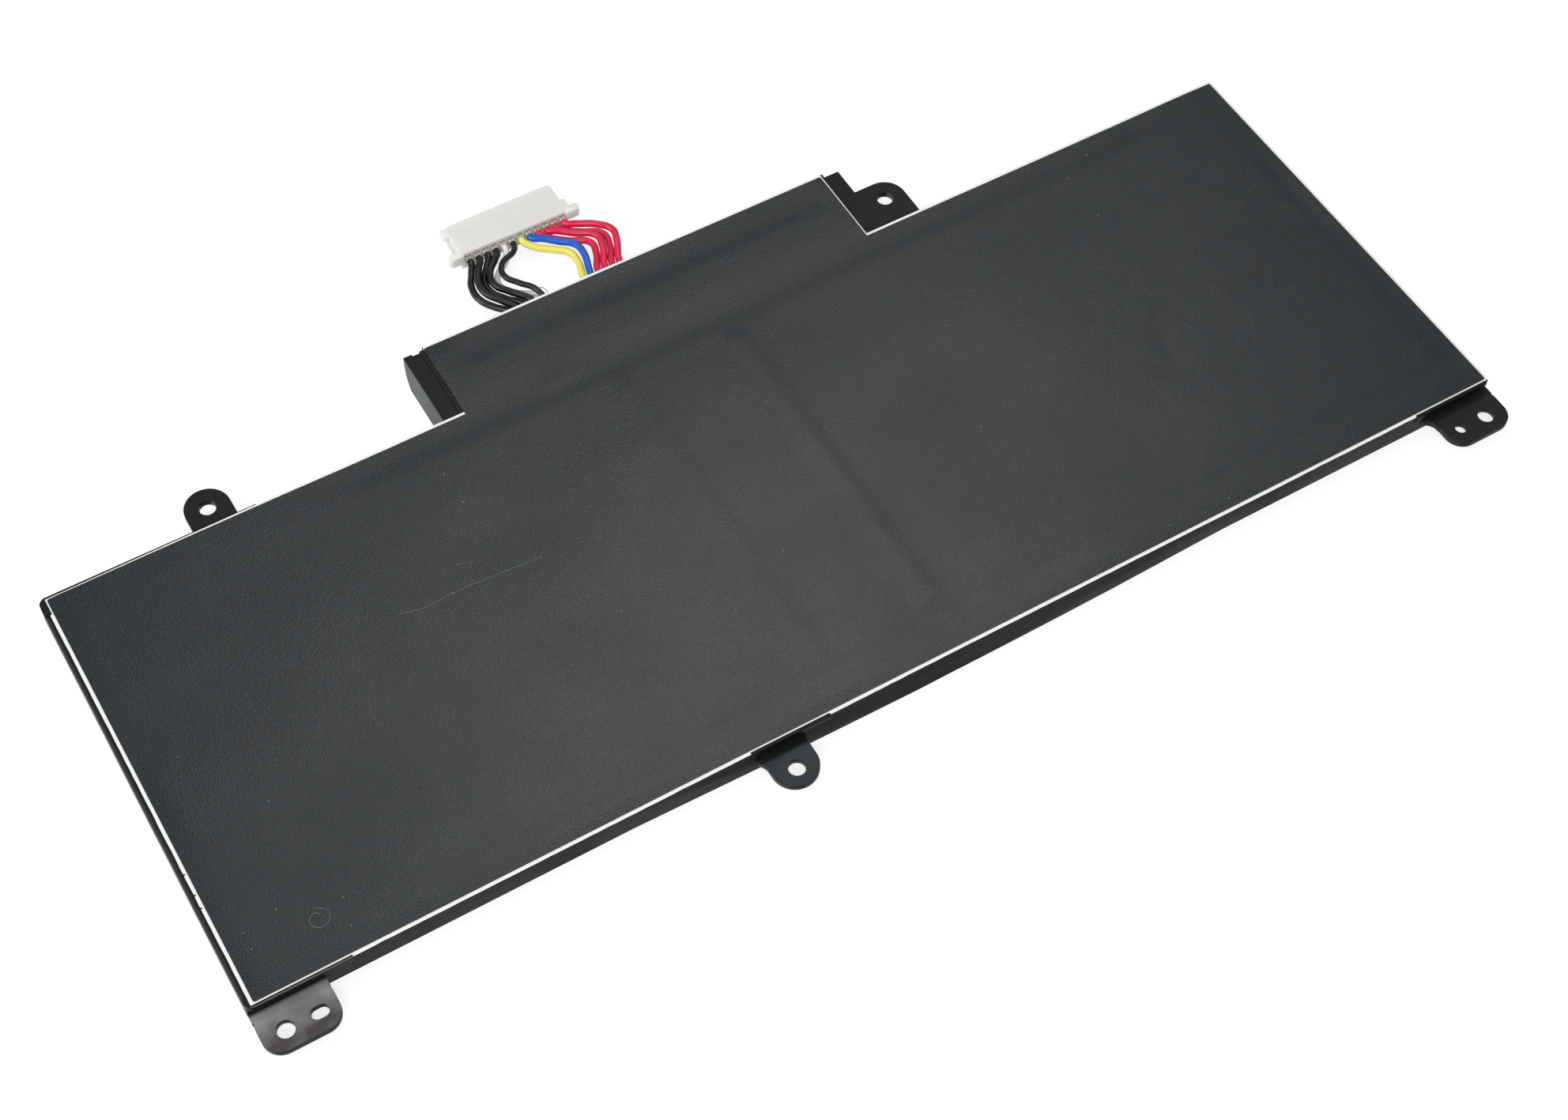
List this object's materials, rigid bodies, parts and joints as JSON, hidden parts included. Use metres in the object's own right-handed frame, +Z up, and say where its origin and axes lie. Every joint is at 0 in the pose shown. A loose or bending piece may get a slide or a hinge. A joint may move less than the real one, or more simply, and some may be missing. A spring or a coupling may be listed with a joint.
{
  "type": "tablet battery pack",
  "caption": "Thin flat battery pack for a tablet: moulded frame with screw ears, film covers, a raised tab for the board and a short bundle of leads to a white plug.",
  "frame": {"origin": "centre of the main body's underside, midway between its ends and between its front and back walls", "axes": "+X along the pack to the side ear's end, +Y from the three front ears to the tab and the plug, +Z up through the top film"},
  "size_m": [0.17, 0.0944, 0.0036],
  "materials": {
    "frame_moulding": "fine matt moulding grain",
    "white_sheet": "satin white film",
    "black_film": "matt film with faint creases",
    "pouch_foil": "satin laminated foil",
    "tape": "soft black tape and foam",
    "nickel": "rolled nickel strip",
    "board_resist": "green solder resist over glass fibre",
    "chip_mould": "black chip resin",
    "chip_ceramic": "tan and white ceramic chips",
    "solder": "bright solder",
    "crimp_tin": "tinned bronze",
    "plug_nylon": "natural white nylon",
    "lead_black": "smooth lead insulation",
    "lead_white": "smooth lead insulation",
    "lead_yellow": "smooth lead insulation",
    "lead_blue": "smooth lead insulation",
    "lead_red": "smooth lead insulation"
  },
  "bodies": {
    "root": {"frame": "frame_moulding", "top_sheet": "white_sheet", "top_film": "black_film", "bottom_film": "black_film", "cell_left": "pouch_foil", "cell_right": "pouch_foil", "cell_tape_left": "tape", "cell_tape_right": "tape", "cell_left_plus": "nickel", "cell_left_minus": "nickel", "cell_right_plus": "nickel", "cell_right_minus": "nickel", "series_link": "nickel", "weld_pads": "nickel", "protection_board": "board_resist", "gauge_chip": "chip_mould", "switch_transistors": "chip_mould", "protector_fuse": "chip_ceramic", "sense_resistor": "chip_mould", "thermistor": "chip_ceramic", "chip_capacitors": "chip_ceramic", "solder_joints": "solder", "board_foam": "tape", "lead_black_1": "lead_black", "lead_black_2": "lead_black", "lead_black_3": "lead_black", "lead_black_4": "lead_black", "lead_white": "lead_white", "lead_black_thin": "lead_black", "lead_yellow": "lead_yellow", "lead_blue": "lead_blue", "lead_red_1": "lead_red", "lead_red_2": "lead_red", "lead_red_3": "lead_red", "lead_red_4": "lead_red", "plug_housing": "plug_nylon", "plug_contacts": "crimp_tin"}
  },
  "joints": []
}
